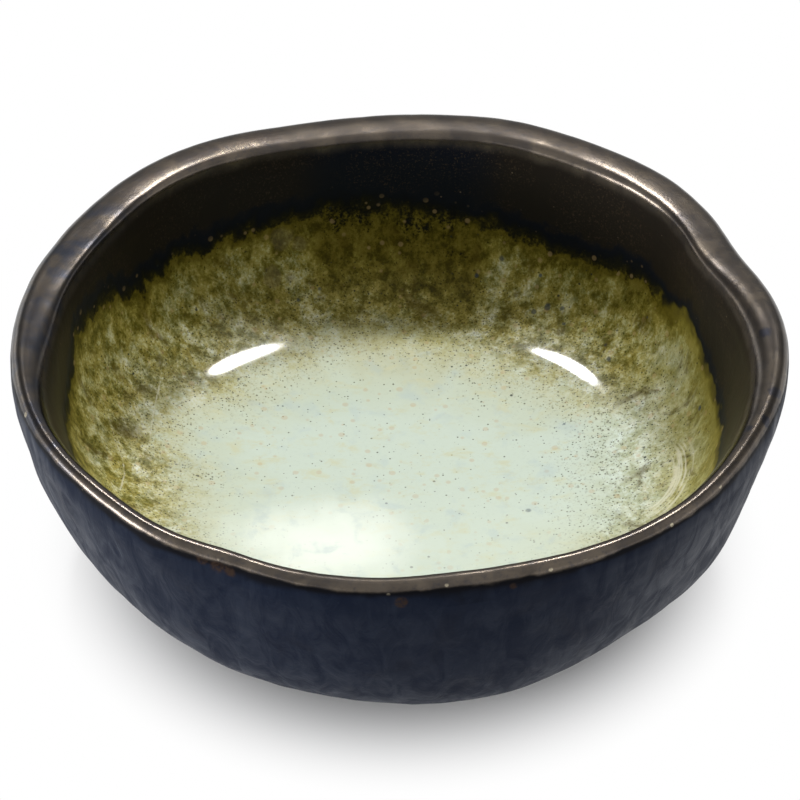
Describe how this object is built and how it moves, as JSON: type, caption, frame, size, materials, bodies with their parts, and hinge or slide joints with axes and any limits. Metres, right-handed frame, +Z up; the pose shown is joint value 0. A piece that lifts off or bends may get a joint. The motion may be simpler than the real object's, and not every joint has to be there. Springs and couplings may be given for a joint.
{
  "type": "dish",
  "caption": "Small round side dish in hand-formed stoneware, with a thick uneven lip, a low foot ring, a pale celadon lining and a dark iron rim",
  "frame": {"origin": "centre of the foot ring's underside, on the surface that the dish stands on", "axes": "+Z up through the middle of the bowl, +X to the right and -Y to the front as the picture shows it"},
  "size_m": [0.12, 0.1188, 0.0423],
  "materials": {
    "clay": "matte",
    "lining_glaze": "gloss",
    "iron_glaze": "satin",
    "slip_glaze": "satin"
  },
  "bodies": {
    "root": {"clay_body": "clay", "foot_ring": "clay", "inner_glaze": "lining_glaze", "rim_glaze": "iron_glaze", "outer_glaze": "slip_glaze"}
  },
  "joints": []
}
